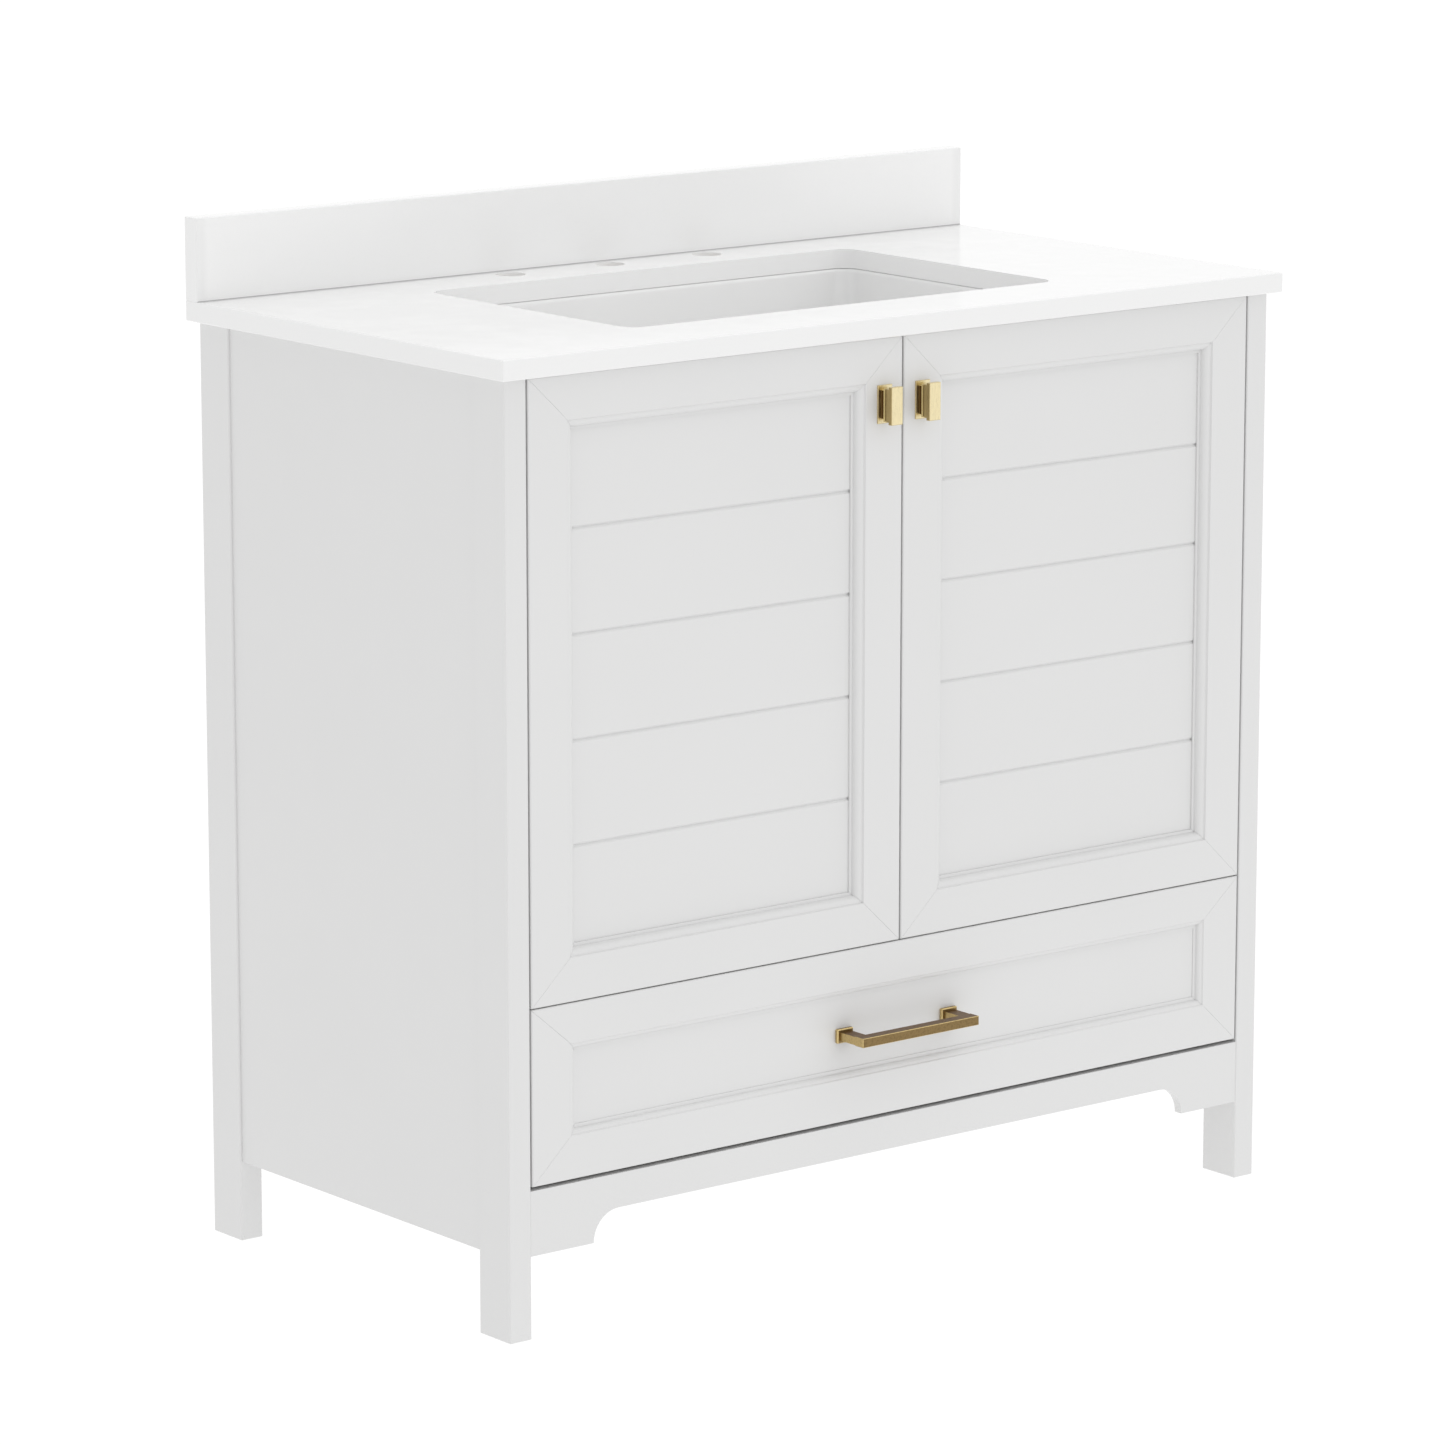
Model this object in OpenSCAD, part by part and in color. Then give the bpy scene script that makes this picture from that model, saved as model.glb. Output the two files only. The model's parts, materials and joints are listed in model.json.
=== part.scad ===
// Bathroom vanity cabinet: a stone top with an undermount basin and a backsplash,
// on a legged case with two inset doors, one full-width drawer and a shaped apron.
//
// Origin: on the floor, at the middle of the object's footprint.
// +X points to the right of a person who faces the doors, +Y points to the wall, +Z points up.
// The object is symmetric about X = 0, so each right-hand piece mirrors its left-hand one.

/* [Stone top] */
// Width of the stone top
top_w = 914.4; // [820:0.1:1220]
// Depth of the stone top, from its front edge to the wall
top_d = 483.4; // [450:0.1:580]
// Height of the top's upper face above the floor
top_h = 878.6; // [720:0.1:1060]
// Thickness of the stone top
top_t = 18.5; // [12:0.5:32]
// Width of the small bevel along the stone's edges
stone_ease = 0.8; // [0.2:0.1:2]
// Height of the backsplash
splash_h = 77; // [50:1:120]
// Thickness of the backsplash
splash_t = 18.6; // [10:0.1:25]

/* [Basin] */
// Width of the opening in the stone top
cut_w = 502; // [380:1:610]
// Depth of the opening, front to back
cut_d = 306; // [240:1:312]
// Distance from the top's front edge to the opening
cut_setback = 88; // [80:0.5:90]
// Corner radius of the opening
cut_r = 18; // [10:1:30]
// Depth of the bowl, from the underside of the stone to the bowl's floor
bowl_depth = 145; // [110:1:175]
// How far the bowl's walls lean inwards from rim to floor
bowl_lean = 14; // [0:1:25]
// Radius between the bowl's walls and its floor
bowl_r = 30; // [20:1:40]
// Wall thickness of the basin
bowl_wall = 9; // [7:0.5:12]
// Width of the flange that is fixed under the stone
flange_w = 25; // [22:1:30]
// Thickness of that flange
flange_t = 11; // [8:0.5:16]
// Diameter of the drain hole
drain_d = 45; // [38:0.5:50]
// Diameter of the overflow hole
overflow_d = 20; // [12:0.5:24]
// Depth of the overflow hole's centre below the stone
overflow_drop = 48; // [35:1:60]

/* [Faucet holes] */
// Diameter of each of the three faucet holes
faucet_hole_d = 28; // [24:0.5:35]
// Distance between the centres of the two outer holes
faucet_spread = 235; // [150:1:300]
// Distance from the top's back edge to the holes' centres
faucet_setback = 40; // [38:0.5:45]

/* [Case] */
// Overhang of the stone top past each side of the case
over_side = 9.3; // [2:0.1:25]
// Overhang of the stone top past the front of the case
over_front = 11.4; // [4:0.1:25]
// Overhang of the stone top past the back of the case
over_back = 8.4; // [2:0.1:20]
// Width of each leg, seen from the front
leg_w = 24; // [20:0.5:40]
// Depth of each leg, seen from the side
leg_d = 45; // [45:0.5:60]
// Width of the small bevel along the edges of the painted wood
wood_ease = 0.9; // [0.2:0.1:2]
// Thickness of the side panels
side_t = 16; // [12:0.5:18]
// How far the side panels sit inside the outer faces of the legs
side_reveal = 2.5; // [1:0.1:4]
// Height of the lower edges of the side panels and apron above the floor
skirt_z = 76; // [60:1:110]
// Height of the apron at its ends
apron_h = 59.5; // [50:0.5:80]
// Rise of the cut-out under the apron, and the radius of its corners
arch_rise = 28; // [15:0.5:35]
// Distance from a leg to the start of the cut-out
arch_foot = 69.8; // [40:0.1:120]
// Thickness of the apron
apron_t = 9; // [8:0.5:18]
// How far the apron sits behind the front of the legs
apron_setback = 0.8; // [0.5:0.1:5]
// Thickness of the rails at the front and back of the case
rail_t = 16; // [12:0.5:18]
// Height of the front rail, behind the tops of the doors
front_rail_h = 60; // [40:1:70]
// Height of the three back rails
back_rail_h = 80; // [60:1:100]
// Distance from the stone down to the top back rail, which leaves room for the faucet's nuts
back_rail_drop = 45; // [40:1:90]
// How far the back rails sit inside the back of the legs
back_inset = 2; // [0:0.5:6]
// Thickness of the deck between the doors and the drawer
deck_t = 16; // [12:0.5:19]
// How far the deck reaches above the lower edge of the doors
deck_lap = 11; // [10:0.5:12]
// Thickness of the bottom panel, under the drawer
bottom_t = 12; // [6:0.5:15]
// Length of each side of the corner blocks under the stone
block_w = 40; // [30:1:45]
// Height of the corner blocks
block_h = 20; // [15:1:30]

/* [Doors and drawer front] */
// Gap between the doors, and between them or the drawer front and the legs
door_gap = 1.9; // [1.5:0.1:4]
// Gap between the doors and the drawer front
middle_gap = 1.2; // [1:0.1:4]
// Gap between the doors and the stone top
door_top_gap = 1.6; // [1:0.1:4]
// Gap between the drawer front and the apron
drawer_gap = 3.6; // [2:0.1:6]
// Thickness of the door and drawer frames
door_t = 20; // [19:0.5:22]
// Width of the flat face of the stiles
stile_w = 42.7; // [40:0.1:60]
// Width of the flat face of the door rails
door_rail_w = 40; // [36:0.1:60]
// Height of the drawer front
drawer_front_h = 160.5; // [140:0.1:200]
// Width of the flat face of the drawer front's top rail
drawer_rail_top_w = 36.5; // [30:0.1:45]
// Width of the flat face of the drawer front's bottom rail
drawer_rail_bottom_w = 39.8; // [30:0.1:45]
// Width of the moulding inside the door frames
door_mould_w = 10.4; // [9:0.1:13]
// Depth of the door panels behind the faces of the frames
door_recess = 10; // [9:0.1:11]
// Radius of the rounded bead on the door moulding
door_bead_r = 6.6; // [4:0.1:7]
// Width of the moulding inside the drawer frame
drawer_mould_w = 8.6; // [8:0.1:11]
// Depth of the drawer panel behind the face of the frame
drawer_recess = 6.3; // [5.8:0.1:8]
// Radius of the rounded bead on the drawer moulding
drawer_bead_r = 4.3; // [3:0.1:4.3]
// Thickness of the door panels
panel_t = 6; // [4:0.5:7]
// Depth to which the panels are held in the frames' grooves
panel_hold = 7.2; // [5:0.1:7.5]
// Number of planks in each door panel
plank_count = 5; // [3:1:8]
// Width of the V grooves between planks
vee_w = 4.2; // [2:0.1:8]
// Depth of the V grooves
vee_depth = 2; // [1:0.1:3]
// Width of the line where two mitred members meet
mitre_line = 0.2; // [0.05:0.01:0.3]

/* [Drawer box] */
// Length of the drawer box behind its front
box_len = 400; // [300:1:405]
// Height of the drawer box
box_h = 118; // [80:1:130]
// Thickness of the drawer box's sides
box_t = 12; // [9:0.5:16]
// Thickness of the drawer's bottom
box_bottom_t = 6; // [4:0.5:9]
// Depth of the groove that holds the drawer's bottom
box_groove = 6; // [3:0.5:7]
// Width of the space for a slide, on each side of the drawer box
slide_w = 13; // [12.7:0.1:14]
// Height of the slides
slide_h = 45; // [35:1:55]
// Thickness of the slides' steel
slide_steel = 1.2; // [1:0.1:1.5]

/* [Hardware] */
// Width of the knobs' base plates
knob_base_w = 17; // [14:0.5:24]
// Height of the knobs' base plates
knob_base_h = 35; // [30:0.5:60]
// Thickness of the knobs' base plates
knob_base_t = 1.4; // [1:0.1:3]
// Length of the narrow stem between a knob's base plate and its neck
knob_stem = 4.8; // [2:0.1:6]
// Width of the knobs' front bars
knob_bar_w = 13.1; // [10:0.1:16]
// Height of the knobs' front bars
knob_bar_h = 34.4; // [30:0.1:60]
// Thickness of the knobs' front bars
knob_bar_t = 4.8; // [3:0.1:7]
// Height of the knobs' necks
knob_neck_h = 30.6; // [16:0.1:55]
// Distance that the knobs stand out from the doors
knob_out = 18.4; // [17:0.1:30]
// Distance from a door's top edge to the middle of its knob
knob_drop = 60; // [50:1:120]
// Distance between the centres of the pull's two posts
pull_centres = 125; // [96:1:192]
// Height of the pull's bar and posts
pull_bar = 8.7; // [6:0.1:12]
// Depth of the pull's bar, front to back
pull_bar_t = 12; // [6:0.1:16]
// Width of the pull's posts
pull_post_w = 14; // [7:0.1:16]
// Distance that the pull stands out from the front of the case
pull_out = 31.1; // [25:0.1:45]
// Width of the pull's base plates
pull_base_w = 18.8; // [17:0.1:26]
// Height of the pull's base plates
pull_base_h = 13.4; // [12.5:0.1:24]
// Thickness of the pull's base plates
pull_base_t = 4.2; // [2.5:0.1:5]
// Diameter of the handle screws
screw_d = 4; // [3:0.5:5]
// Diameter of the hinge cups
cup_d = 35; // [35:1:36]
// Depth of the hinge cups
cup_depth = 11; // [10.5:0.1:11.5]
// Distance from a door's outer edge to the centre of its hinge cups
cup_inset = 22; // [21:0.1:22.5]
// Distance from the ends of a door to its hinges
hinge_inset = 95; // [80:1:130]
// Thickness of the door bumpers
bumper_t = 1.6; // [1:0.1:1.7]
// Distance between the two wall screws in the top back rail
wall_screw_centres = 406.4; // [300:0.1:620]
// Diameter of the wall screw holes
wall_screw_d = 6; // [4:0.5:8]

/* [Hidden] */
$fn = 48;

// Clearance of a piece that is slid into a groove
fit = 0.1;
// Extra length of a cutting shape past the face that it cuts
cut = 1;
// Gap between the closed doors and the rails behind them
stop_gap = 2;
// Step between a frame's flat face and the bead of its moulding
step_w = 0.9;
door_step_h = 1.8;
drawer_step_h = 1.3;
// Height of the drawer box above the drawer front's lower edge, and of its bottom above its own
box_lift = 12;
groove_lift = 8;
// Distance from the back of the front rail's plane to the front end of the slides
slide_setback = 2;
// Height of the bottom panel above the top of the apron's cut-out
bottom_lift = 2;
// Hole in wood for a handle screw, and the head of that screw
screw_hole_d = screw_d + 0.5;
screw_head_d = 2 * screw_d;
screw_head_h = 0.6 * screw_d;
// Depth that a screw reaches into a handle
screw_reach = 7;

paint = [0.93, 0.93, 0.925];
stone = [0.96, 0.96, 0.955];
glaze = [0.95, 0.95, 0.945];
bare_wood = [0.80, 0.68, 0.50];
light_gold = [0.88, 0.80, 0.60];
dark_gold = [0.55, 0.45, 0.28];
steel = [0.70, 0.71, 0.72];

// Levels
under_z = top_h - top_t;
apron_top = skirt_z + apron_h;
drawer_z = apron_top + drawer_gap;
door_z = drawer_z + drawer_front_h + middle_gap;
door_h = under_z - door_top_gap - door_z;
deck_z = door_z + deck_lap - deck_t;
bottom_z = skirt_z + arch_rise + bottom_lift;
box_z = drawer_z + box_lift;
groove_z = box_z + groove_lift;
slide_z = box_z + box_h / 2;
pull_z = drawer_z + drawer_front_h / 2;
back_rail_top_z = under_z - back_rail_drop - back_rail_h;

// Depths
y_top_front = (pull_out - over_front - top_d) / 2;
y_top_back = y_top_front + top_d;
y_front = y_top_front + over_front;
y_back = y_top_back - over_back;
y_inner = y_front + door_t + stop_gap;
y_back_rail = y_back - back_inset - rail_t;
y_box = y_front + door_t;
y_drawer_panel = y_front + drawer_recess + fit;
case_d = y_back - y_front;
cut_y = y_top_front + cut_setback + cut_d / 2;

// Widths
case_w = top_w - 2 * over_side;
bay_w = case_w - 2 * leg_w;
panel_bay_w = case_w - 2 * (side_reveal + side_t);
front_w = bay_w - 2 * door_gap;
door_w = (front_w - door_gap) / 2;
box_w = bay_w - 2 * slide_w;

// ---- Shared shapes ----

// Rectangle from the origin with its four corners cut off at 45 degrees
module bevelled_rect(w, h, e) {
    polygon([[e, 0], [w - e, 0], [w, e], [w, h - e], [w - e, h], [e, h], [0, h - e], [0, e]]);
}

// Block from the origin with a small bevel on all twelve edges
module eased_block(w, d, h, e) {
    intersection() {
        linear_extrude(h) bevelled_rect(w, d, e);
        translate([0, d, 0]) rotate([90, 0, 0]) linear_extrude(d) bevelled_rect(w, h, e);
        rotate([90, 0, 90]) linear_extrude(w) bevelled_rect(d, h, e);
    }
}

// The same block, centred on X and Z, with its front face at y = 0
module eased_plate(w, d, h, e) {
    translate([-w / 2, 0, -h / 2]) eased_block(w, d, h, e);
}

// Rectangle centred on the origin with true arcs at its corners
module rounded_rect(w, d, r) {
    square([w - 2 * r, d], center = true);
    square([w, d - 2 * r], center = true);
    for (x = [-1, 1], y = [-1, 1])
        translate([x * (w / 2 - r), y * (d / 2 - r)]) circle(r);
}

// Cylinder along Y, from y = 0 to y = h
module rod(d, h) {
    rotate([-90, 0, 0]) cylinder(d = d, h = h);
}

module mirrored_x() {
    mirror([1, 0, 0]) children();
}

module both_sides() {
    children();
    mirror([1, 0, 0]) children();
}

// ---- Mitred frames ----

// Section of a frame member: x runs in from the outer edge, y runs back from the face.
// Face, small step, rounded bead, flat fillet, then the groove that holds the panel.
module frame_section(face_w, mould_w, recess, bead_r, step_h) {
    inner = face_w + mould_w;
    bead_x = face_w + step_w;
    bead_y = step_h + bead_r;
    groove_x = inner - panel_hold - 5 * fit;
    groove_y = recess + panel_t + 2 * fit;
    polygon([
        [0, wood_ease], [wood_ease, 0], [face_w, 0], [bead_x, step_h], [bead_x, bead_y],
        [inner, bead_y], [inner, recess], [groove_x, recess], [groove_x, groove_y],
        [inner, groove_y], [inner, door_t], [0, door_t]
    ]);
    translate([bead_x, bead_y])
        intersection() {
            circle(bead_r);
            translate([0, -bead_r]) square(bead_r);
        }
}

// Length of frame along Z, with its outer edge at x = 0
module frame_bar(len, face_w, mould_w, recess, bead_r, step_h) {
    linear_extrude(len) frame_section(face_w, mould_w, recess, bead_r, step_h);
}

// Outline of one member of a w by h frame, seen from the front and drawn in x and y.
// side is 0 for the left, 1 for the bottom, 2 for the right and 3 for the top.
function frame_corners(w, h, rail_bottom, rail_top, in) = [
    [in * stile_w, in * rail_bottom],
    [w - in * stile_w, in * rail_bottom],
    [w - in * stile_w, h - in * rail_top],
    [in * stile_w, h - in * rail_top]
];

function shrink(p, w, h, m) = [p.x < w / 2 ? p.x + m : p.x - m, p.y < h / 2 ? p.y + m : p.y - m];

function member_outline(w, h, rail_bottom, rail_top, mould_w, side) =
    let (
        outer = frame_corners(w, h, rail_bottom, rail_top, 0),
        face = frame_corners(w, h, rail_bottom, rail_top, 1),
        inner = [for (p = face) shrink(p, w, h, mould_w)],
        a = [3, 0, 1, 2][side],
        b = [0, 1, 2, 3][side]
    )
    [outer[a], outer[b], face[b], inner[b], inner[a], face[a]];

// One mitred member in its place in a frame whose lower left front corner is the origin
module frame_member(w, h, rail_bottom, rail_top, mould_w, recess, bead_r, step_h, side) {
    outline = member_outline(w, h, rail_bottom, rail_top, mould_w, side);
    pull_in = mitre_line / 2;
    // Moving the outline away from its neighbours leaves the thin line at each mitre
    shift = [[-pull_in, 0], [0, -pull_in], [pull_in, 0], [0, pull_in]][side];
    intersection() {
        translate([shift.x, door_t + cut, shift.y])
            rotate([90, 0, 0]) linear_extrude(door_t + 2 * cut) polygon(outline);
        if (side == 0)
            frame_bar(h, stile_w, mould_w, recess, bead_r, step_h);
        if (side == 2)
            translate([w, 0, 0]) mirror([1, 0, 0])
                frame_bar(h, stile_w, mould_w, recess, bead_r, step_h);
        if (side == 1)
            rotate([0, 90, 0]) mirror([1, 0, 0])
                frame_bar(w, rail_bottom, mould_w, recess, bead_r, step_h);
        if (side == 3)
            translate([0, 0, h]) rotate([0, 90, 0])
                frame_bar(w, rail_top, mould_w, recess, bead_r, step_h);
    }
}

// ---- Case ----

module leg(y) {
    color(paint)
        translate([-case_w / 2, y, 0]) eased_block(leg_w, leg_d, under_z, wood_ease);
}

module leg_front_left() leg(y_front);
module leg_front_right() mirrored_x() leg_front_left();
module leg_back_left() leg(y_back - leg_d);
module leg_back_right() mirrored_x() leg_back_left();

module side_panel_left() {
    color(paint)
        translate([-case_w / 2 + side_reveal, y_front + leg_d, skirt_z])
            cube([side_t, case_d - 2 * leg_d, under_z - skirt_z]);
}

module side_panel_right() mirrored_x() side_panel_left();

module apron() {
    arch_w = bay_w - 2 * arch_foot;
    color(paint)
        translate([0, y_front + apron_setback + apron_t, skirt_z])
            rotate([90, 0, 0]) linear_extrude(apron_t)
                difference() {
                    translate([-bay_w / 2, 0]) square([bay_w, apron_h]);
                    // The lower half of this rounded shape falls below the apron
                    rounded_rect(arch_w, 2 * arch_rise, arch_rise - cut / 100);
                }
}

module front_rail() {
    color(bare_wood)
        translate([-bay_w / 2, y_inner, under_z - front_rail_h])
            cube([bay_w, rail_t, front_rail_h]);
}

// Flat panel between the legs, widened between the front and back legs to meet the side panels
module notched_panel(t, front_y) {
    linear_extrude(t) {
        translate([-bay_w / 2, front_y]) square([bay_w, y_back_rail - front_y]);
        translate([-panel_bay_w / 2, y_front + leg_d]) square([panel_bay_w, case_d - 2 * leg_d]);
    }
}

module deck() {
    color(bare_wood) translate([0, 0, deck_z]) notched_panel(deck_t, y_inner);
}

module bottom_panel() {
    color(paint)
        translate([0, 0, bottom_z]) notched_panel(bottom_t, y_front + apron_setback + apron_t);
}

module back_rail(z) {
    translate([-bay_w / 2, y_back_rail, z]) cube([bay_w, rail_t, back_rail_h]);
}

module back_rail_top() {
    color(bare_wood)
        difference() {
            back_rail(back_rail_top_z);
            for (x = [-1, 1])
                translate([x * wall_screw_centres / 2, y_back_rail - cut,
                           back_rail_top_z + back_rail_h / 2])
                    rod(wall_screw_d, rail_t + 2 * cut);
        }
}

module back_rail_middle() color(bare_wood) back_rail(deck_z + deck_t - back_rail_h);
module back_rail_bottom() color(bare_wood) back_rail(skirt_z);

module slide_batten_left() {
    color(bare_wood)
        translate([-panel_bay_w / 2, y_front + leg_d, slide_z - slide_h / 2])
            cube([(panel_bay_w - bay_w) / 2, case_d - 2 * leg_d, slide_h]);
}

module slide_batten_right() mirrored_x() slide_batten_left();

module corner_blocks() {
    color(bare_wood)
        both_sides() {
            translate([-bay_w / 2, y_inner + rail_t, under_z - block_h])
                cube([block_w, block_w, block_h]);
            translate([-bay_w / 2, y_back_rail - block_w, under_z - block_h])
                cube([block_w, block_w, block_h]);
        }
}

// ---- Stone top and basin ----

module stone_top() {
    color(stone)
        difference() {
            translate([-top_w / 2, y_top_front, under_z])
                eased_block(top_w, top_d, top_t, stone_ease);
            translate([0, cut_y, under_z - cut])
                linear_extrude(top_t + 2 * cut) rounded_rect(cut_w, cut_d, cut_r);
            for (i = [-1:1])
                translate([i * faucet_spread / 2, y_top_back - faucet_setback, under_z - cut])
                    cylinder(d = faucet_hole_d, h = top_t + 2 * cut);
        }
}

module backsplash() {
    color(stone)
        translate([-top_w / 2, y_top_back - splash_t, top_h])
            eased_block(top_w, splash_t, splash_h, stone_ease);
}

// Bowl shape from its rim to its floor; grow is added all round
module bowl_form(grow, rim_low, rim_high) {
    floor_x = cut_w / 2 - bowl_lean - bowl_r;
    floor_y = cut_d / 2 - bowl_lean - bowl_r;
    hull() {
        for (x = [-1, 1], y = [-1, 1]) {
            translate([x * (cut_w / 2 - cut_r), y * (cut_d / 2 - cut_r), rim_low])
                cylinder(r = cut_r + grow, h = rim_high - rim_low);
            translate([x * floor_x, y * floor_y, bowl_r - bowl_depth])
                sphere(bowl_r + grow);
        }
    }
}

module sink_basin() {
    duct_gap = 8;
    duct_wall = 4;
    duct_w = overflow_d + duct_wall;
    collar_w = 6;
    front_out = -cut_d / 2 - bowl_wall;
    floor_out = -bowl_depth - bowl_wall;
    color(glaze)
        translate([0, cut_y, under_z])
            difference() {
                union() {
                    translate([0, 0, -flange_t])
                        linear_extrude(flange_t)
                            rounded_rect(cut_w + 2 * flange_w, cut_d + 2 * flange_w, cut_r + flange_w);
                    bowl_form(bowl_wall, -flange_t, -flange_t / 2);
                    // Overflow duct: down the front wall, then under the floor to the drain
                    translate([-duct_w / 2 - duct_wall, front_out - duct_gap - duct_wall,
                               floor_out - duct_gap - duct_wall])
                        cube([duct_w + 2 * duct_wall, duct_gap + duct_wall + bowl_lean + bowl_r,
                              bowl_depth + bowl_wall + duct_gap + duct_wall - flange_t / 2]);
                    translate([-duct_w / 2 - duct_wall, front_out, floor_out - duct_gap - duct_wall])
                        cube([duct_w + 2 * duct_wall, -front_out, duct_gap + 2 * duct_wall]);
                    translate([0, 0, floor_out - duct_gap - duct_wall])
                        cylinder(d = drain_d + 2 * collar_w, h = duct_gap + 2 * duct_wall);
                }
                bowl_form(0, -flange_t, cut);
                translate([0, 0, floor_out - duct_gap - duct_wall - cut])
                    cylinder(d = drain_d, h = bowl_depth);
                translate([0, front_out - duct_gap / 2, -overflow_drop])
                    rod(overflow_d, duct_gap + bowl_wall + bowl_lean);
                translate([-duct_w / 2, front_out - duct_gap, floor_out - duct_gap])
                    cube([duct_w, duct_gap, duct_gap - floor_out - overflow_drop + overflow_d / 2]);
                translate([-duct_w / 2, front_out - duct_gap, floor_out - duct_gap])
                    cube([duct_w, duct_gap - front_out, duct_gap]);
            }
}

// Four steel clips that hold the flange of the basin up against the stone
module sink_clips() {
    clip_t = 2.5;
    clip_w = 22;
    reach = 14;
    foot = 16;
    color(steel)
        translate([0, cut_y, under_z])
            both_sides()
                for (y = [-1, 1])
                    translate([-cut_w / 2 - flange_w, y * cut_d / 4 + clip_w / 2, 0])
                        rotate([90, 0, 0]) linear_extrude(clip_w)
                            polygon([
                                [-clip_t - foot, 0], [-fit, 0], [-fit, -flange_t - fit],
                                [reach, -flange_t - fit], [reach, -flange_t - fit - clip_t],
                                [-clip_t, -flange_t - fit - clip_t], [-clip_t, -clip_t],
                                [-clip_t - foot, -clip_t]
                            ]);
}

// ---- Doors ----

module left_door_place() {
    translate([-front_w / 2, y_front, door_z]) children();
}

module door_member(side) {
    left_door_place()
        frame_member(door_w, door_h, door_rail_w, door_rail_w, door_mould_w, door_recess,
                     door_bead_r, door_step_h, side);
}

// Calls its children at the two hinge positions of the left door, on the door's back
module hinge_places() {
    for (z = [hinge_inset, door_h - hinge_inset])
        left_door_place() translate([cup_inset, door_t, z]) children();
}

module door_left_stile_outer() {
    color(paint)
        difference() {
            door_member(0);
            hinge_places()
                translate([0, -cup_depth - 2 * fit, 0]) rod(cup_d + 2 * fit, cup_depth + cut);
        }
}

knob_x = door_w - stile_w / 2;
knob_z = door_h - knob_drop;
// Depth at which a knob screw's head sits in the back of the stile
knob_screw_y = door_t - screw_head_h - 5 * fit;

module door_left_stile_inner() {
    color(paint)
        difference() {
            door_member(2);
            left_door_place()
                translate([knob_x, 0, knob_z]) {
                    translate([0, -cut, 0]) rod(screw_hole_d, door_t + 2 * cut);
                    translate([0, knob_screw_y, 0]) rod(screw_head_d + 1, door_t);
                }
        }
}

module door_left_rail_top() color(paint) door_member(3);
module door_left_rail_bottom() color(paint) door_member(1);

module door_left_panel() {
    edge_x = stile_w + door_mould_w - panel_hold;
    edge_z = door_rail_w + door_mould_w - panel_hold;
    w = door_w - 2 * edge_x;
    h = door_h - 2 * edge_z;
    pitch = h / plank_count;
    color(paint)
        left_door_place()
            translate([edge_x, door_recess + fit, edge_z])
                rotate([90, 0, 90]) linear_extrude(w)
                    difference() {
                        square([panel_t, h]);
                        for (i = [1 : plank_count - 1])
                            translate([0, i * pitch])
                                polygon([[-cut, -vee_w / 2], [0, -vee_w / 2], [vee_depth, 0],
                                         [0, vee_w / 2], [-cut, vee_w / 2]]);
                    }
}

// Block of a knob's neck between two depths, that far inside the edges of its bar
module knob_layer(inset, front, back) {
    translate([-knob_bar_w / 2 + inset, front, -knob_neck_h / 2 + inset])
        cube([knob_bar_w - 2 * inset, back - front, knob_neck_h - 2 * inset]);
}

// Base plate, narrow stem, collar, grooved neck and a front bar that stands above and below the neck
module door_left_knob() {
    knob_ease = 0.4;
    stem_inset = 2.4;
    collar_t = 2.6;
    neck_groove_w = 1.2;
    neck_groove_inset = 1.2;
    neck_y = knob_bar_t - knob_ease;
    stem_y = knob_out - knob_base_t - knob_stem;
    collar_y = stem_y - collar_t;
    color(light_gold)
        left_door_place()
            translate([knob_x, -knob_out, knob_z])
                difference() {
                    union() {
                        eased_plate(knob_bar_w, knob_bar_t, knob_bar_h, knob_ease);
                        knob_layer(knob_ease, neck_y, collar_y - neck_groove_w);
                        knob_layer(neck_groove_inset, neck_y, stem_y);
                        knob_layer(knob_ease, collar_y, stem_y);
                        knob_layer(stem_inset, neck_y, knob_out - knob_base_t + knob_ease);
                        translate([0, knob_out - knob_base_t, 0])
                            eased_plate(knob_base_w, knob_base_t, knob_base_h, knob_ease);
                    }
                    translate([0, knob_out - screw_reach - fit, 0])
                        rod(screw_d + fit, screw_reach + cut);
                }
}

// Pan-head screw along -Y; the origin is under its head
module handle_screw(len) {
    color(steel) {
        mirror([0, 1, 0]) rod(screw_d, len);
        rod(screw_head_d, screw_head_h);
    }
}

module door_left_knob_screw() {
    left_door_place()
        translate([knob_x, knob_screw_y, knob_z]) handle_screw(knob_screw_y + screw_reach);
}

// Cup of a concealed hinge: a round cup in the door with a flat flange on the door's back
module door_left_hinge_cups() {
    cup_wall = 1.5;
    flange_h = 58;
    flange_d = 15;
    flange_plate = 1;
    hole_d = 4;
    hole_spacing = 48;
    color(steel)
        hinge_places()
            difference() {
                union() {
                    translate([0, -cup_depth, 0]) rod(cup_d, cup_depth + flange_plate);
                    translate([-flange_d / 2, 0, -flange_h / 2])
                        cube([flange_d, flange_plate, flange_h]);
                }
                translate([0, -cup_depth + cup_wall, 0])
                    rod(cup_d - 2 * cup_wall, cup_depth + flange_plate + cut);
                for (z = [-1, 1])
                    translate([0, -cut, z * hole_spacing / 2]) rod(hole_d, flange_plate + 2 * cut);
            }
}

module door_left_bumpers() {
    bumper_d = 8;
    bumper_inset = 12;
    lap_z = deck_lap / 2;
    color("white")
        left_door_place()
            for (z = [lap_z, door_h - front_rail_h / 2])
                translate([door_w - bumper_inset, door_t, z]) rod(bumper_d, bumper_t);
}

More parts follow.
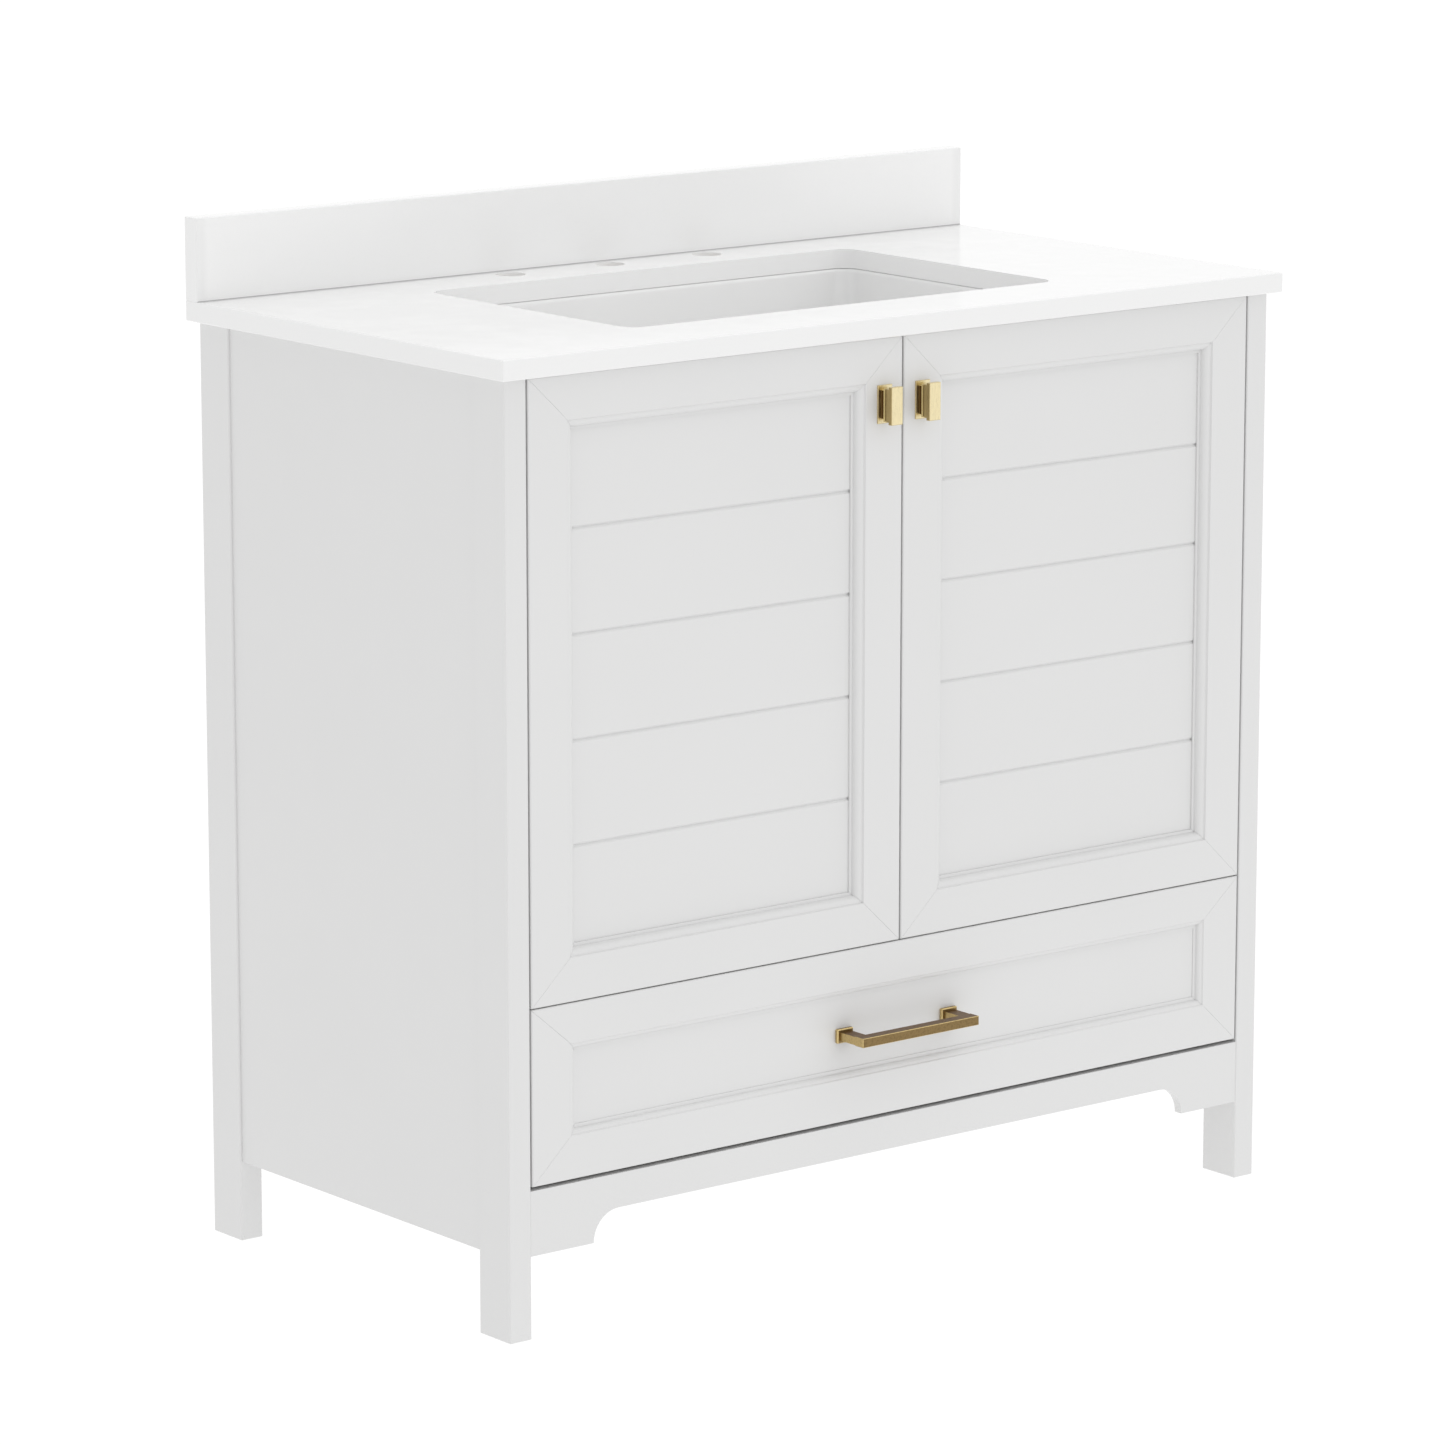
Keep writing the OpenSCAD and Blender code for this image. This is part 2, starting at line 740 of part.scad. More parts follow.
// Arms of the left door's hinges: a plate on the leg, an arm, and a tip that dips into the cup
module hinge_arms_left() {
    plate_h = 48;
    plate_t = 3;
    arm_h = 14;
    arm_t = 9;
    arm_x = cup_inset + door_gap;
    tip_w = 8;
    tip_x = arm_x - 1;
    tip_depth = 6;
    tip_h = arm_h - 2;
    arm_y = stop_gap + 2;
    color(steel)
        for (z = [hinge_inset, door_h - hinge_inset])
            translate([-bay_w / 2, y_front + door_t, door_z + z]) {
                translate([0, arm_y, -plate_h / 2])
                    cube([plate_t, leg_d - door_t - arm_y - 1, plate_h]);
                translate([0, arm_y, -arm_h / 2]) cube([tip_x + tip_w, arm_t, arm_h]);
                translate([tip_x, -tip_depth, -tip_h / 2])
                    cube([tip_w, tip_depth + arm_y + 1, tip_h]);
            }
}

module hinge_arms_right() mirrored_x() hinge_arms_left();

module door_right_stile_outer() mirrored_x() door_left_stile_outer();
module door_right_stile_inner() mirrored_x() door_left_stile_inner();
module door_right_rail_top() mirrored_x() door_left_rail_top();
module door_right_rail_bottom() mirrored_x() door_left_rail_bottom();
module door_right_panel() mirrored_x() door_left_panel();
module door_right_knob() mirrored_x() door_left_knob();
module door_right_knob_screw() mirrored_x() door_left_knob_screw();
module door_right_hinge_cups() mirrored_x() door_left_hinge_cups();
module door_right_bumpers() mirrored_x() door_left_bumpers();

// ---- Drawer ----

module drawer_member(side) {
    color(paint)
        translate([-front_w / 2, y_front, drawer_z])
            frame_member(front_w, drawer_front_h, drawer_rail_bottom_w, drawer_rail_top_w,
                         drawer_mould_w, drawer_recess, drawer_bead_r, drawer_step_h, side);
}

module drawer_stile_left() drawer_member(0);
module drawer_stile_right() drawer_member(2);
module drawer_rail_top() drawer_member(3);
module drawer_rail_bottom() drawer_member(1);

// Edges held in the grooves, with a thicker field that comes flush with the frame's back
module drawer_panel() {
    field_x = stile_w + drawer_mould_w + fit;
    field_low = drawer_rail_bottom_w + drawer_mould_w + fit;
    field_high = drawer_rail_top_w + drawer_mould_w + fit;
    hold = panel_hold + fit;
    field_w = front_w - 2 * field_x;
    field_h = drawer_front_h - field_low - field_high;
    color(paint)
        difference() {
            translate([-field_w / 2, y_drawer_panel, drawer_z + field_low]) {
                cube([field_w, door_t - drawer_recess - fit, field_h]);
                translate([-hold, 0, -hold])
                    cube([field_w + 2 * hold, panel_t, field_h + 2 * hold]);
            }
            for (x = [-1, 1])
                translate([x * pull_centres / 2, y_front, pull_z]) rod(screw_hole_d, door_t + cut);
        }
}

module drawer_side_left() {
    color(bare_wood)
        difference() {
            translate([-box_w / 2, y_box, box_z]) cube([box_t, box_len, box_h]);
            translate([-box_w / 2 + box_t - box_groove, y_box - cut, groove_z])
                cube([box_groove + cut, box_len + 2 * cut, box_bottom_t + 2 * fit]);
        }
}

module drawer_side_right() mirrored_x() drawer_side_left();

// Board across the drawer box; groove_y is the y of the groove's open side
module drawer_cross_board(y, groove_y) {
    w = box_w - 2 * box_t;
    difference() {
        translate([-w / 2, y, box_z]) cube([w, box_t, box_h]);
        translate([-w / 2 - cut, groove_y, groove_z])
            cube([w + 2 * cut, box_groove + cut, box_bottom_t + 2 * fit]);
    }
}

module drawer_box_front() {
    color(bare_wood)
        difference() {
            drawer_cross_board(y_box, y_box + box_t - box_groove);
            for (x = [-1, 1])
                translate([x * pull_centres / 2, y_box - cut, pull_z])
                    rod(screw_hole_d, box_t + 2 * cut);
        }
}

module drawer_box_back() {
    color(bare_wood) drawer_cross_board(y_box + box_len - box_t, y_box + box_len - box_t - cut);
}

module drawer_bottom() {
    w = box_w - 2 * (box_t - box_groove) - 2 * fit;
    d = box_len - 2 * (box_t - box_groove) - 2 * fit;
    color(bare_wood)
        translate([-w / 2, y_box + box_t - box_groove + fit, groove_z + fit])
            cube([w, d, box_bottom_t]);
}

module drawer_pull() {
    bar_w = pull_centres + pull_post_w;
    bar_back = y_front - pull_out + pull_bar_t;
    base_y = y_drawer_panel - pull_base_t;
    pull_ease = 0.5;
    base_ease = 1;
    color(dark_gold)
        difference() {
            union() {
                translate([0, y_front - pull_out, pull_z])
                    eased_plate(bar_w, pull_bar_t, pull_bar, pull_ease);
                for (x = [-1, 1])
                    translate([x * pull_centres / 2, 0, pull_z]) {
                        translate([0, base_y, 0])
                            eased_plate(pull_base_w, pull_base_t, pull_base_h, base_ease);
                        translate([-pull_post_w / 2 + pull_ease, bar_back - pull_ease,
                                   -pull_bar / 2 + pull_ease])
                            cube([pull_post_w - 2 * pull_ease, base_y - bar_back + 2 * pull_ease,
                                  pull_bar - 2 * pull_ease]);
                    }
            }
            for (x = [-1, 1])
                translate([x * pull_centres / 2, y_drawer_panel - screw_reach - fit, pull_z])
                    rod(screw_d + fit, screw_reach + cut);
        }
}

module pull_screws() {
    for (x = [-1, 1])
        translate([x * pull_centres / 2, y_box + box_t, pull_z])
            handle_screw(y_box + box_t - y_drawer_panel + screw_reach);
}

// ---- Drawer slides ----

// Channel along Y with its web at x = 0: positive lip opens it towards +X, negative towards -X
module slide_channel(h, lip) {
    web_x = lip > 0 ? 0 : -slide_steel;
    lip_x = lip > 0 ? 0 : lip;
    translate([0, y_inner + slide_setback, slide_z]) {
        translate([web_x, 0, -h / 2]) cube([slide_steel, box_len, h]);
        for (z = [-h / 2, h / 2 - slide_steel])
            translate([lip_x, 0, z]) cube([abs(lip), box_len, slide_steel]);
    }
}

// The three members nest in each other, with running_gap between their lips.
// The lips and the middle member's place are shares of the slide's width.
running_gap = 1;
case_lip = 0.65 * slide_w;
middle_x = 0.22 * slide_w;
middle_lip = 0.55 * slide_w;
drawer_lip = 0.58 * slide_w;
middle_h = slide_h - 2 * (slide_steel + running_gap);
inner_h = middle_h - 2 * (slide_steel + running_gap);

module slide_case_left() {
    color(steel) translate([-bay_w / 2, 0, 0]) slide_channel(slide_h, case_lip);
}

module slide_middle_left() {
    color(steel) translate([-bay_w / 2 + middle_x, 0, 0]) slide_channel(middle_h, middle_lip);
}

module slide_drawer_left() {
    color(steel) translate([-box_w / 2, 0, 0]) slide_channel(inner_h, -drawer_lip);
}

module slide_case_right() mirrored_x() slide_case_left();
module slide_middle_right() mirrored_x() slide_middle_left();
module slide_drawer_right() mirrored_x() slide_drawer_left();

leg_front_left();
leg_front_right();
leg_back_left();
leg_back_right();
side_panel_left();
side_panel_right();
apron();
front_rail();
deck();
bottom_panel();
back_rail_top();
back_rail_middle();
back_rail_bottom();
slide_batten_left();
slide_batten_right();
corner_blocks();
stone_top();
backsplash();
sink_basin();
sink_clips();
hinge_arms_left();
hinge_arms_right();
slide_case_left();
slide_case_right();
slide_middle_left();
slide_middle_right();
slide_drawer_left();
slide_drawer_right();
drawer_stile_left();
drawer_stile_right();
drawer_rail_top();
drawer_rail_bottom();
drawer_panel();
drawer_side_left();
drawer_side_right();
drawer_box_front();
drawer_box_back();
drawer_bottom();
drawer_pull();
pull_screws();
door_left_stile_outer();
door_left_stile_inner();
door_left_rail_top();
door_left_rail_bottom();
door_left_panel();
door_left_knob();
door_left_knob_screw();
door_left_hinge_cups();
door_left_bumpers();
door_right_stile_outer();
door_right_stile_inner();
door_right_rail_top();
door_right_rail_bottom();
door_right_panel();
door_right_knob();
door_right_knob_screw();
door_right_hinge_cups();
door_right_bumpers();
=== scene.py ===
"""Bathroom vanity cabinet: the looks of its paint, stone, basin and brass round the CAD frame."""

import json
import math

import bmesh
import bpy
from mathutils import Matrix, Vector


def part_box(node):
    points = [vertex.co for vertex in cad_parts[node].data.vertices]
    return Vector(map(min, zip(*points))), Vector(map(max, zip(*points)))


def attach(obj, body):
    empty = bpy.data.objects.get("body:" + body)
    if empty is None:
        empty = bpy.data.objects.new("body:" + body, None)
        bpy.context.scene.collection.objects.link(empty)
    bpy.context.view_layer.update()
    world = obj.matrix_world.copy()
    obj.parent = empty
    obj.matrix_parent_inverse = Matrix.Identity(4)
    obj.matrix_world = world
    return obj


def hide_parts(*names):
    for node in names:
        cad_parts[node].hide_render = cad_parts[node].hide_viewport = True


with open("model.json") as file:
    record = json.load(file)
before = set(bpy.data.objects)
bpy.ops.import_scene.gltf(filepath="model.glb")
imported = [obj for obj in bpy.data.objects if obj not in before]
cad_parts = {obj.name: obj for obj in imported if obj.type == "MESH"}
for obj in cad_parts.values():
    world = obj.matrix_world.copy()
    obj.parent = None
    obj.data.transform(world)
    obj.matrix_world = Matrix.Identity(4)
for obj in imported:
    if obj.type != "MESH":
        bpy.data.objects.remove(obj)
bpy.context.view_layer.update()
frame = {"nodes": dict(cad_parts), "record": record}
MM = 0.001

# ---------------------------------------------------------------------------
# Shader helpers. A value is a number, a colour or the socket of another node.
# ---------------------------------------------------------------------------


def feed(tree, node, values):
    """Gives each named input of the node a fixed value, or links a socket to it."""
    for name, value in values.items():
        if isinstance(value, bpy.types.NodeSocket):
            tree.links.new(value, node.inputs[name])
        else:
            node.inputs[name].default_value = value


def add(tree, kind, values, **properties):
    """A new node of that kind, with those values in its inputs and those properties."""
    made = tree.nodes.new(kind)
    for name, value in properties.items():
        setattr(made, name, value)
    feed(tree, made, values)
    return made


def opaque(colour):
    return (*colour, 1.0)


def new_material(name, colour, roughness, metallic=0.0):
    """A material with one Principled shader. Returns the material, its node tree and the shader."""
    material = bpy.data.materials.new(name)
    material.use_nodes = True
    material.diffuse_color = opaque(colour)
    tree = material.node_tree
    shader = tree.nodes["Principled BSDF"]
    feed(tree, shader, {
        "Base Color": opaque(colour), "Roughness": roughness, "Metallic": metallic,
    })
    return material, tree, shader


def place(tree, grain_axis=None, squeeze=1.0):
    """Object coordinates; squeezed along an axis, so that a noise becomes a grain along it."""
    where = add(tree, "ShaderNodeTexCoord", {})
    scale = [squeeze if axis == grain_axis else 1.0 for axis in "XYZ"]
    mapping = add(tree, "ShaderNodeMapping", {"Vector": where.outputs["Object"], "Scale": scale})
    return mapping.outputs["Vector"]


def noise(tree, vector, scale, detail=2.0, roughness=0.5, distortion=0.0):
    made = add(tree, "ShaderNodeTexNoise", {
        "Vector": vector, "Scale": scale, "Detail": detail, "Roughness": roughness,
        "Distortion": distortion,
    })
    return made.outputs["Fac"]


def spread(tree, value, low, high, from_low=0.3, from_high=0.7):
    """value, moved from one range to another and kept inside it; noises use the middle of theirs."""
    made = add(tree, "ShaderNodeMapRange", {
        "Value": value, "From Min": from_low, "From Max": from_high, "To Min": low, "To Max": high,
    })
    return made.outputs["Result"]


def mixed(tree, share, first, second, blend="MIX"):
    """The first colour where share is 0, and the second over it where share is 1."""
    made = add(tree, "ShaderNodeMix", {"Factor": share, "A": first, "B": second},
               data_type="RGBA", blend_type=blend)
    return made.outputs["Result"]


def tone(colour, factor):
    """The colour made darker or lighter by that factor."""
    return tuple(min(1.0, c * factor) for c in colour)


def mottled(tree, pattern, colour, dark, light):
    """The colour, varied by a noise between two of its tones."""
    share = spread(tree, pattern, 0.0, 1.0)
    return mixed(tree, share, opaque(tone(colour, dark)), opaque(tone(colour, light)))


def tinted(tree, base, share, tint):
    """base multiplied by tint where share is 1."""
    return mixed(tree, share, base, opaque(tint), "MULTIPLY")


def bump(tree, height, distance, strength=1.0):
    made = add(tree, "ShaderNodeBump", {
        "Height": height, "Distance": distance, "Strength": strength,
    })
    return made.outputs["Normal"]


def computed(tree, operation, *values):
    """The values put through one Math node."""
    made = add(tree, "ShaderNodeMath", dict(enumerate(values)), operation=operation)
    return made.outputs["Value"]


def along(tree, output, axis):
    """One axis of a texture coordinate: a place for Object, a direction for Normal."""
    where = add(tree, "ShaderNodeTexCoord", {})
    parts = add(tree, "ShaderNodeSeparateXYZ", {"Vector": where.outputs[output]})
    return parts.outputs[axis]


# how squarely a face looks along an axis: where its share starts, and where it is full
ROUGHLY = (0.35, 0.85)
SQUARELY = (0.75, 0.95)


def facing_share(tree, axis, limits=SQUARELY):
    """1 on faces that look along that axis of their piece, either way, and 0 on the others."""
    size = computed(tree, "ABSOLUTE", along(tree, "Normal", axis))
    return spread(tree, size, 0.0, 1.0, *limits)


def band_share(tree, axis, low, high, soft=0.1 * MM):
    """1 between two places along an axis of the object, 0 elsewhere."""
    where = along(tree, "Object", axis)
    rise = spread(tree, where, 0.0, 1.0, low - soft, low + soft)
    drop = spread(tree, where, 1.0, 0.0, high - soft, high + soft)
    return computed(tree, "MULTIPLY", rise, drop)


# ---------------------------------------------------------------------------
# Materials
# ---------------------------------------------------------------------------

PAINT = (0.735, 0.735, 0.733)
STONE = (0.925, 0.925, 0.923)
GLAZE = (0.875, 0.875, 0.872)
LIGHT_BRASS = (0.845, 0.735, 0.46)
DARK_BRASS = (0.262, 0.18, 0.079)
BIRCH = (0.62, 0.47, 0.29)
ZINC = (0.56, 0.57, 0.58)
CLEAR_PLASTIC = (0.82, 0.83, 0.83)
SILICONE = (0.50, 0.50, 0.50)
FLOOR = (0.04, 0.04, 0.04)

# painted shade greys the outer upright edges of the stone against its top, less on the backsplash;
# metres along X, Y and Z over which its share changes
RIM_PAINTED_SHADE = (0.925, 0.925, 0.925)
RIM_ENDS = (0.44, 0.45)
RIM_FRONT = (-0.23, -0.22)
RIM_BACKSPLASH = (0.8795, 0.8805)
BACKSPLASH_SHADE_SHARE = 0.4

# painted light and shade: tints of the sides, of the tops and of the small bevels, standing in for
# the reflections and highlights each catches
KNOB_LIGHT_TINTS = ((0.55, 0.475, 0.34), (0.97, 0.97, 0.97), (0.8, 0.75, 0.65))
PULL_LIGHT_TINTS = ((2.35, 2.55, 2.65), (0.64, 0.46, 0.22), (2.6, 2.9, 3.1))
# painted shade and highlight in bands along a knob's depth, in mm behind its front: painted shade in
# the groove, a painted highlight on the collar, and painted shadow in the recess round the stem
KNOB_SHADE_AND_HIGHLIGHT_BANDS = (
    (8.4, 9.6, (0.35, 0.3, 0.22)),
    (9.7, 12.1, (1.6, 1.7, 1.8)),
    (12.2, 16.9, (0.16, 0.11, 0.07)),
)


def white_paint():
    """Sprayed satin paint: slight orange peel, faint clouding and uneven sheen."""
    material, tree, shader = new_material("white_paint", PAINT, 0.4)
    here = place(tree)
    feed(tree, shader, {
        "Base Color": mottled(tree, noise(tree, here, 4.0, 3.0), PAINT, 0.992, 1.006),
        "Roughness": spread(tree, noise(tree, here, 35.0, 3.0), 0.34, 0.46),
        "Normal": bump(tree, noise(tree, here, 700.0, 1.0), 0.03 * MM),
    })
    return material


def painted_rim_shade_share(tree):
    """Share of painted shade: 1 on the outer upright edges of the slab, less on the backsplash, 0 on
    the polished rest.
    """
    across = computed(tree, "ABSOLUTE", along(tree, "Object", "X"))
    ends = spread(tree, across, 0.0, 1.0, *RIM_ENDS)
    front = spread(tree, along(tree, "Object", "Y"), 1.0, 0.0, *RIM_FRONT)
    splash = spread(tree, along(tree, "Object", "Z"), 0.0, BACKSPLASH_SHADE_SHARE, *RIM_BACKSPLASH)
    share = computed(tree, "MAXIMUM", computed(tree, "MAXIMUM", ends, front), splash)
    upright = computed(tree, "SUBTRACT", 1.0, facing_share(tree, "Z", ROUGHLY))
    return computed(tree, "MULTIPLY", share, upright)


def engineered_stone():
    """Polished white quartz: a very faint fleck and cloud under a clear polish, with painted shade
    on its outer edges.
    """
    material, tree, shader = new_material("engineered_stone", STONE, 0.14)
    here = place(tree)
    body = mottled(tree, noise(tree, here, 6.0, 4.0, 0.6), STONE, 0.995, 1.004)
    flecks = spread(tree, noise(tree, here, 900.0, 2.0), 0.0, 0.35, 0.62, 0.72)
    flecked = mixed(tree, flecks, body, opaque(tone(STONE, 0.93)))
    feed(tree, shader, {
        # painted shade: the slab's outer upright edges are greyed by the rim tint
        "Base Color": tinted(tree, flecked, painted_rim_shade_share(tree), RIM_PAINTED_SHADE),
        "Roughness": spread(tree, noise(tree, here, 20.0, 4.0), 0.11, 0.18),
    })
    return material


def basin_glaze():
    """Vitreous glaze: glossy, with the slow waviness that a fired glaze has."""
    material, tree, shader = new_material("basin_glaze", GLAZE, 0.1)
    here = place(tree)
    feed(tree, shader, {
        "Base Color": mottled(tree, noise(tree, here, 7.0, 2.0), GLAZE, 0.994, 1.004),
        "Roughness": spread(tree, noise(tree, here, 60.0), 0.07, 0.13),
        "Normal": bump(tree, noise(tree, here, 22.0, 1.0), 0.2 * MM, 0.35),
        "Coat Weight": 0.5,
        "Coat Roughness": 0.04,
    })
    return material


def brushed_brass(name, colour, roughness, grain_axis, speckle, tints, bands=()):
    """Brushed brass: fine scratches along one axis, and specks where the finish has aged.

    Painted light and shade: the sides, the tops and the small bevels have a tint each, for the
    reflections and highlights they catch.
    On the sides, each band (its two places along Y, and its tint) is tinted once more, with painted
    shade or highlight."""
    material, tree, shader = new_material(name, colour, roughness, 1.0)
    side_light_tint, top_light_tint, bevel_light_tint = tints
    scratches = noise(tree, place(tree, grain_axis, 0.04), 1800.0, 3.0, 0.7)
    spots = noise(tree, place(tree), 450.0, 3.0, 0.6)
    lines = mottled(tree, scratches, colour, 0.88, 1.08)
    aged = spread(tree, spots, 0.0, speckle, 0.48, 0.68)
    shaded = mixed(tree, aged, lines, opaque(tone(colour, 0.55)))
    side, top, front = (facing_share(tree, axis) for axis in "XZY")
    flat = computed(tree, "MAXIMUM", computed(tree, "MAXIMUM", side, top), front)
    # painted light and shade: sides, tops and bevels tinted by the way they face
    shaded = tinted(tree, shaded, side, side_light_tint)
    shaded = tinted(tree, shaded, top, top_light_tint)
    shaded = tinted(tree, shaded, computed(tree, "SUBTRACT", 1.0, flat), bevel_light_tint)
    # painted shade and highlight: bands along the depth, on the sides only
    for low, high, tint in bands:
        share = computed(tree, "MULTIPLY", band_share(tree, "Y", low, high), side)
        shaded = tinted(tree, shaded, share, tint)
    feed(tree, shader, {
        "Base Color": shaded,
        "Roughness": spread(tree, scratches, roughness - 0.06, roughness + 0.1),
        "Normal": bump(tree, scratches, 0.02 * MM, 0.5),
    })
    return material


def knob_brass():
    """Light brass, with painted shadow that makes it nearly black in the recess behind the collar
    and in the neck's groove, and a painted highlight on the collar.
    """
    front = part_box("door_left_knob")[0].y
    bands = [(front + low * MM, front + high * MM, tint) for low, high, tint in KNOB_SHADE_AND_HIGHLIGHT_BANDS]
    return brushed_brass("light_brass", LIGHT_BRASS, 0.30, "Z", 0.12, KNOB_LIGHT_TINTS, bands)


def pull_brass():
    """Dark brass with painted highlights on its edges and painted light on its sides."""
    return brushed_brass("dark_brass", DARK_BRASS, 0.36, "X", 0.55, PULL_LIGHT_TINTS)


def birch(name, grain_axis):
    """Lacquered birch plywood with its grain along one axis."""
    material, tree, shader = new_material(name, BIRCH, 0.5)
    grain = place(tree, grain_axis, 0.06)
    bands = noise(tree, grain, 18.0, 5.0, 0.6, 0.6)
    pores = noise(tree, grain, 420.0, 2.0)
    wood = mottled(tree, bands, BIRCH, 0.86, 1.12)
    dark = spread(tree, pores, 0.0, 0.5, 0.56, 0.75)
    feed(tree, shader, {
        "Base Color": mixed(tree, dark, wood, opaque(tone(BIRCH, 0.62))),
        "Roughness": spread(tree, bands, 0.42, 0.58),
        "Normal": bump(tree, pores, 0.06 * MM, 0.6),
    })
    return material


def zinc_steel():
    """Zinc-plated steel with the mottled crystals of its plating."""
    material, tree, shader = new_material("zinc_steel", ZINC, 0.33, 1.0)
    crystals = noise(tree, place(tree), 260.0, 3.0)
    feed(tree, shader, {
        "Base Color": mottled(tree, crystals, ZINC, 0.9, 1.1),
        "Roughness": spread(tree, crystals, 0.27, 0.42),
        "Normal": bump(tree, crystals, 0.03 * MM, 0.5),
    })
    return material


def clear_rubber():
    """Soft clear plastic of the door bumpers."""
    material, tree, shader = new_material("clear_rubber", CLEAR_PLASTIC, 0.45)
    feed(tree, shader, {
        "Roughness": spread(tree, noise(tree, place(tree), 900.0, 2.0), 0.38, 0.55),
        "Subsurface Weight": 0.4,
        "Subsurface Radius": (2 * MM, 2 * MM, 2 * MM),
    })
    return material


def grey_silicone():
    """Cured silicone: soft sheen, slightly uneven."""
    material, tree, shader = new_material("silicone", SILICONE, 0.5)
    waves = noise(tree, place(tree), 300.0, 2.0)
    feed(tree, shader, {
        "Roughness": spread(tree, waves, 0.42, 0.6),
        "Normal": bump(tree, waves, 0.05 * MM, 0.5),
    })
    return material


def studio_floor():
    """Dull floor that glows as white as the backdrop, and takes a trace of shade."""
    material, tree, shader = new_material("studio_floor", FLOOR, 0.9)
    grain = noise(tree, place(tree), 3.0, 2.0)
    dark, light = opaque(tone(FLOOR, 0.95)), opaque(tone(FLOOR, 1.05))
    feed(tree, shader, {
        "Base Color": mixed(tree, grain, dark, light),
        "Specular IOR Level": 0.0,
        "Emission Color": opaque((1.0, 1.0, 1.0)),
        "Emission Strength": 1.01,
    })
    return material


GLAZED = basin_glaze()
STEEL = zinc_steel()
JOINT = grey_silicone()
BIRCH_DEEP = birch("birch_deep", "Y")
BY_SLOT = {
    "white_paint": white_paint(),
    "engineered_stone": engineered_stone(),
    "basin_glaze": GLAZED,
    "light_brass": knob_brass(),
    "dark_brass": pull_brass(),
    "bare_wood": birch("birch_across", "X"),
    "zinc_steel": STEEL,
    "bumper": clear_rubber(),
}
GRAIN_ALONG_Y = ("slide_batten_left", "slide_batten_right", "drawer_side_left", "drawer_side_right")


def paint_nodes():
    """Gives every CAD node the material of its slot in the record."""
    for part in frame["record"]["subparts"]:
        node = frame["nodes"][part["node"]]
        material = BY_SLOT[part["material_slot"]]
        if part["node"] in GRAIN_ALONG_Y:
            material = BIRCH_DEEP
        node.data.materials.clear()
        node.data.materials.append(material)


paint_nodes()

# ---------------------------------------------------------------------------
# Mesh helpers
# ---------------------------------------------------------------------------

SHARP_ANGLE = math.radians(35)


def object_of(name, shape):
    """Turns a bmesh into the mesh of a new object."""
    mesh = bpy.data.meshes.new(name)
    shape.to_mesh(mesh)
    shape.free()
    made = bpy.data.objects.new(name, mesh)
    bpy.context.scene.collection.objects.link(made)
    return made


def shade_smooth(mesh):
    """Smooth shading that stays sharp at edges above SHARP_ANGLE."""
    mesh.polygons.foreach_set("use_smooth", [True] * len(mesh.polygons))
    sharp = bmesh.new()
    sharp.from_mesh(mesh)
    for edge in sharp.edges:
        edge.smooth = edge.calc_face_angle(0.0) < SHARP_ANGLE
    sharp.to_mesh(mesh)
    sharp.free()


def bridge(shape, first, second):
    """Faces between two closed loops with as many vertices."""
    for i in range(len(first)):
        j = (i + 1) % len(first)
        shape.faces.new((first[i], first[j], second[j], second[i]))


def box_mesh(name, low, high, ease=0.0):
    """Closed block between two corners, with its edges rounded if ease is given."""
    shape = bmesh.new()
    bmesh.ops.create_cube(shape, size=1.0)
    bmesh.ops.scale(shape, vec=high - low, verts=shape.verts)
    bmesh.ops.translate(shape, vec=(low + high) / 2, verts=shape.verts)
    if ease > 0:
        bmesh.ops.bevel(shape, geom=shape.edges[:], offset=ease, segments=3, profile=0.5,
                        affect="EDGES")
    return object_of(name, shape)


def cylinder_mesh(name, start, end, radius):
    """Closed cylinder between two points."""
    shape = bmesh.new()
    axis = end - start
    turn = Vector((0, 0, 1)).rotation_difference(axis).to_matrix().to_4x4()
    bmesh.ops.create_cone(shape, cap_ends=True, segments=48, radius1=radius, radius2=radius,
                          depth=axis.length, matrix=Matrix.Translation((start + end) / 2) @ turn)
    return object_of(name, shape)


def combine(target, tool, operation):
    """Applies a boolean of target with tool, and removes the tool."""
    modifier = target.modifiers.new("combine", "BOOLEAN")
    modifier.operation = operation
    modifier.solver = "EXACT"
    modifier.object = tool
    graph = bpy.context.evaluated_depsgraph_get()
    result = bpy.data.meshes.new_from_object(target.evaluated_get(graph))
    target.modifiers.clear()
    old = target.data
    target.data = result
    bpy.data.meshes.remove(old)
    bpy.data.objects.remove(tool)


def mesh_piece(name, shape, material, body):
    """Turns a bmesh into a piece that moves with that body."""
    made = object_of(name, shape)
    shade_smooth(made.data)
    made.data.materials.append(material)
    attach(made, body)


# ---------------------------------------------------------------------------
# Basin: smooth glazed bowl with a rolled lip, in the place of its CAD node
# ---------------------------------------------------------------------------

SIDE_STEPS = 14
CORNER_STEPS = 12
LIP_STEPS = 6
WALL_STEPS = 8
FOOT_STEPS = 8
FLOOR_STEPS = 10

BASIN_SKIN = 0.2 * MM  # how far the flange's top stays below its CAD node's
FLANGE_W = 25 * MM
FLANGE_T = 11 * MM
FLANGE_R = 43 * MM
FLANGE_EASE = 1.5 * MM
CUT_R = 18 * MM
REVEAL = 2.2 * MM
LIP_R = 4.2 * MM
DEPTH = 145 * MM
LEAN = 14 * MM
FOOT_R = 30 * MM
WALL = 9 * MM
LEAST_R = 1.2 * MM
DRAIN_R = 22.5 * MM
COLLAR_R = DRAIN_R + 6 * MM
SEAT_R = 31 * MM
# the drain's seat: radius, and depth below the floor
SEAT_STEPS = (
    (SEAT_R - 2 * MM, 1.2 * MM),
    (SEAT_R - 3.5 * MM, 2 * MM),
    (DRAIN_R + 1 * MM, 2.3 * MM),
    (DRAIN_R, 3.2 * MM),
)

